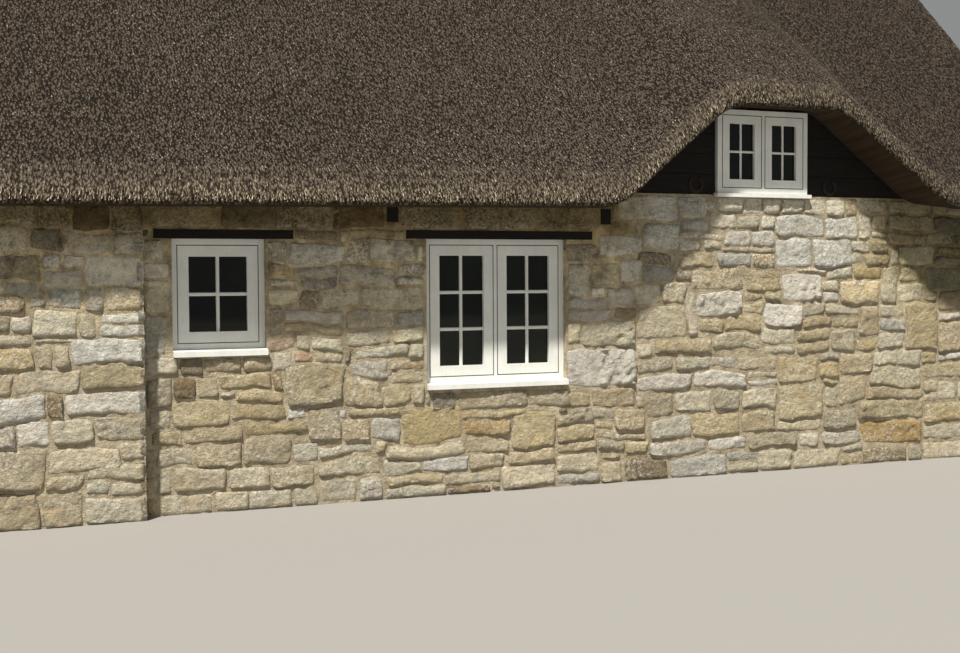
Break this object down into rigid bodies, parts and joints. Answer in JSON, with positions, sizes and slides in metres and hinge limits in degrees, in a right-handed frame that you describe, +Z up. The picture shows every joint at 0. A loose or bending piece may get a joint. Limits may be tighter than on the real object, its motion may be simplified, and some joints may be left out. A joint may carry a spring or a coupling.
{
  "type": "thatched stone cottage",
  "caption": "Small rubble-stone cottage with a thatched roof that sweeps up over eyebrow dormers, casement windows, a plank door and a gable chimney.",
  "frame": {"origin": "middle of the plan, on the ground under the walls", "axes": "+X along the front to the right of someone who faces it, +Y from the front wall to the back, +Z up"},
  "size_m": [11.2, 6.2, 6.7703],
  "materials": {
    "stone": "coursed rubble of honey and grey limestone with pale lime mortar",
    "flags": "worn stone flags",
    "thatch": "weathered grey-brown reed thatch under fine netting",
    "white": "off-white paint, worn a little at the edges",
    "dark": "dark brown stained timber",
    "timber": "aged sawn timber",
    "glass": "clear window glass over a dark room",
    "iron": "old iron with brown rust",
    "door": "muted grey-green paint on vertical planks",
    "clay": "unglazed terracotta"
  },
  "bodies": {
    "root": {"back_dormer_boarding": "dark", "back_dormer_window_frame": "white", "back_dormer_window_left_glass": "glass", "back_dormer_window_left_sash": "white", "back_dormer_window_right_glass": "glass", "back_dormer_window_right_sash": "white", "back_wall": "stone", "back_window_frame": "white", "back_window_glass": "glass", "back_window_lintel": "dark", "back_window_sash": "white", "back_window_sill": "white", "chimney_pot": "clay", "chimney_stack": "stone", "door_frame": "timber", "door_lintel": "dark", "dormer_boarding": "dark", "dormer_window_frame": "white", "dormer_window_left_glass": "glass", "dormer_window_left_sash": "white", "dormer_window_right_glass": "glass", "dormer_window_right_sash": "white", "front_wall": "stone", "ground_floor": "flags", "left_gable_wall": "stone", "left_horseshoe": "iron", "plank_door": "door", "right_gable_wall": "stone", "right_horseshoe": "iron", "roof_frame": "timber", "small_window_frame": "white", "small_window_glass": "glass", "small_window_lintel": "dark", "small_window_sash": "white", "small_window_sill": "white", "thatch_back": "thatch", "thatch_front": "thatch", "thatch_ridge": "thatch", "upper_floor": "timber", "wide_window_frame": "white", "wide_window_left_glass": "glass", "wide_window_left_sash": "white", "wide_window_lintel": "dark", "wide_window_right_glass": "glass", "wide_window_right_sash": "white", "wide_window_sill": "white"}
  },
  "joints": []
}
